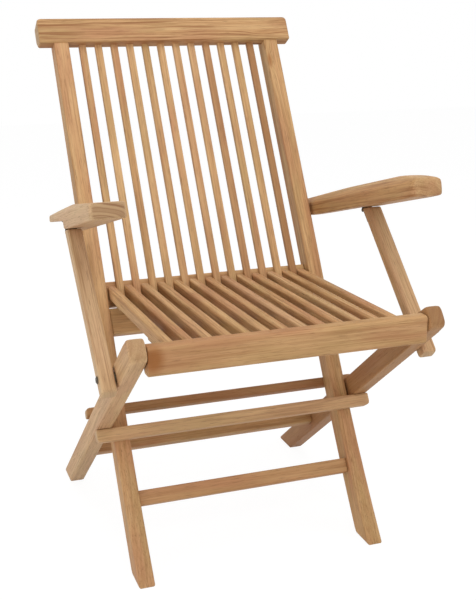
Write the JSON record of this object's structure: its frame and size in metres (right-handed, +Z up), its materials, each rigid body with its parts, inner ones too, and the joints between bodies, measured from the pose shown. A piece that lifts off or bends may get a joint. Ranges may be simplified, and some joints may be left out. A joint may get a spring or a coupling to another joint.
{
  "type": "folding armchair",
  "caption": "Folding teak armchair with a slatted back and seat, crossed legs, contoured arms on sloping posts and steel pivots.",
  "frame": {"origin": "middle of the footprint's bounding box, on the floor", "axes": "+Z up, the sitter faces -Y, +X to the right of the chair seen from the front"},
  "size_m": [0.572, 0.6942, 0.9],
  "materials": {
    "teak_stiles": "oiled teak, fine sanded, grain along each piece",
    "teak_slats": "oiled teak, fine sanded",
    "teak_rails": "oiled teak, fine sanded",
    "teak_legs": "oiled teak, fine sanded",
    "teak_arms": "oiled teak, smooth and rounded",
    "steel": "dull grey bolt steel"
  },
  "bodies": {
    "back_frame": {"arm_bolt_left": "steel", "arm_bolt_right": "steel", "back_slat_01": "teak_slats", "back_slat_02": "teak_slats", "back_slat_03": "teak_slats", "back_slat_04": "teak_slats", "back_slat_05": "teak_slats", "back_slat_06": "teak_slats", "back_slat_07": "teak_slats", "back_slat_08": "teak_slats", "back_slat_09": "teak_slats", "back_slat_10": "teak_slats", "back_slat_11": "teak_slats", "back_slat_12": "teak_slats", "front_stop": "teak_rails", "lower_back_rail": "teak_rails", "lower_stretcher": "teak_rails", "rear_stop": "teak_rails", "seat_support": "teak_rails", "stile_left": "teak_stiles", "stile_right": "teak_stiles", "top_rail": "teak_rails"},
    "arm_left": {"arm_leaf_left": "steel", "arm_left": "teak_arms"},
    "arm_right": {"arm_leaf_right": "steel", "arm_right": "teak_arms"},
    "leg_frame": {"crossing_bolt_left": "steel", "crossing_bolt_right": "steel", "leg_left": "teak_legs", "leg_right": "teak_legs", "leg_stretcher": "teak_rails", "seat_bolt_left": "steel", "seat_bolt_right": "steel"},
    "seat": {"front_batten": "teak_slats", "rear_batten": "teak_slats", "seat_rail": "teak_rails", "seat_slat_01": "teak_slats", "seat_slat_02": "teak_slats", "seat_slat_03": "teak_slats", "seat_slat_04": "teak_slats", "seat_slat_05": "teak_slats", "seat_slat_06": "teak_slats", "seat_slat_07": "teak_slats", "seat_slat_08": "teak_slats", "seat_slat_09": "teak_slats", "seat_slat_10": "teak_slats", "seat_slat_11": "teak_slats", "seat_slat_12": "teak_slats", "seat_slat_13": "teak_slats"},
    "post_left": {"post_bolt_left": "steel", "post_leaf_left": "steel", "post_left": "teak_legs"},
    "post_right": {"post_bolt_right": "steel", "post_leaf_right": "steel", "post_right": "teak_legs"}
  },
  "joints": [
    {"name": "fold", "type": "hinge", "parent": "back_frame", "child": "leg_frame", "pos_m": [0, -0.05393, 0.229], "axis": [-1, 0, 0], "range_deg": [0, 70]},
    {"name": "seat_turn", "type": "hinge", "parent": "leg_frame", "child": "seat", "pos_m": [0, -0.32393, 0.438], "axis": [1, 0, 0], "range_deg": [0, 126]},
    {"name": "arm_swing_left", "type": "hinge", "parent": "back_frame", "child": "arm_left", "pos_m": [0, 0.13606, 0.53797], "axis": [-1, 0, 0], "range_deg": [0, 94.5]},
    {"name": "post_swing_left", "type": "hinge", "parent": "arm_left", "child": "post_left", "pos_m": [0, -0.03542, 0.56659], "axis": [1, 0, 0], "range_deg": [0, 112]},
    {"name": "arm_swing_right", "type": "hinge", "parent": "back_frame", "child": "arm_right", "pos_m": [0, 0.13606, 0.53797], "axis": [-1, 0, 0], "range_deg": [0, 94.5]},
    {"name": "post_swing_right", "type": "hinge", "parent": "arm_right", "child": "post_right", "pos_m": [0, -0.03542, 0.56659], "axis": [1, 0, 0], "range_deg": [0, 112]}
  ],
  "couplings": [
    {"joint": "seat_turn", "follows": "fold", "ratio": 1.79},
    {"joint": "arm_swing_left", "follows": "fold", "ratio": 1.339},
    {"joint": "post_swing_left", "follows": "fold", "ratio": 1.588},
    {"joint": "arm_swing_right", "follows": "fold", "ratio": 1.339},
    {"joint": "post_swing_right", "follows": "fold", "ratio": 1.588}
  ]
}
